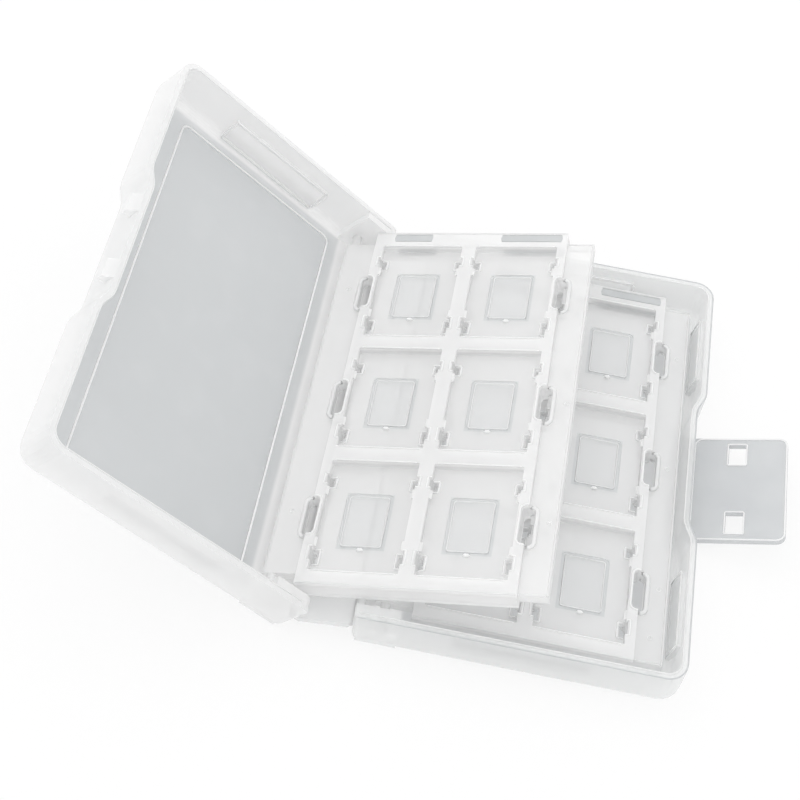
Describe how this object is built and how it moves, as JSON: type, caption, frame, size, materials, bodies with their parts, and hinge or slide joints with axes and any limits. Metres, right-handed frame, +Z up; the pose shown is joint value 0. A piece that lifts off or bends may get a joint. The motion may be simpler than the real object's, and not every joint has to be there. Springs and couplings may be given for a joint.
{
  "type": "game card case",
  "caption": "Snap-shut frosted plastic case that opens like a book, with two card leaves turning on pegs, a hinged spine and a latch strap.",
  "frame": {"origin": "middle of the rear cover's underside, which lies on the table", "axes": "+X towards the latch strap, +Y along the hinges, +Z up"},
  "size_m": [0.1755, 0.1224, 0.0592],
  "materials": {
    "cover_plastic": "frosted translucent moulded polypropylene, finely textured, with a clearer smooth window in the front cover",
    "leaf_plastic": "milky translucent moulded polypropylene, satin"
  },
  "bodies": {
    "rear_cover": {"rear_cover": "cover_plastic"},
    "spine": {"spine": "cover_plastic"},
    "front_cover": {"front_cover": "cover_plastic"},
    "latch_strap": {"latch_strap": "cover_plastic"},
    "page_front": {"page_front": "leaf_plastic"},
    "page_rear": {"page_rear": "leaf_plastic"}
  },
  "joints": [
    {"name": "hinge_rear", "type": "hinge", "parent": "rear_cover", "child": "spine", "pos_m": [-0.0385, 0, 0.0062], "axis": [0, 1, 0], "range_deg": [0, 98]},
    {"name": "hinge_front", "type": "hinge", "parent": "spine", "child": "front_cover", "pos_m": [-0.05296, 0, 0.00417], "axis": [0, 1, 0], "range_deg": [-47.5, 42.5]},
    {"name": "page_front_pivot", "type": "hinge", "parent": "front_cover", "child": "page_front", "pos_m": [-0.0592, 0, 0.00854], "axis": [0, 1, 0], "range_deg": [-125.5, 9]},
    {"name": "page_rear_pivot", "type": "hinge", "parent": "rear_cover", "child": "page_rear", "pos_m": [-0.0319, 0, 0.0068], "axis": [0, -1, 0], "range_deg": [0, 8]},
    {"name": "strap_hinge", "type": "hinge", "parent": "rear_cover", "child": "latch_strap", "pos_m": [0.0367, 0, 0.0026], "axis": [0, -1, 0], "range_deg": [-17.8, 72.2]}
  ],
  "couplings": [
    {"joint": "hinge_front", "follows": "hinge_rear", "ratio": 0.4337},
    {"joint": "page_front_pivot", "follows": "hinge_rear", "ratio": -1.2806}
  ]
}
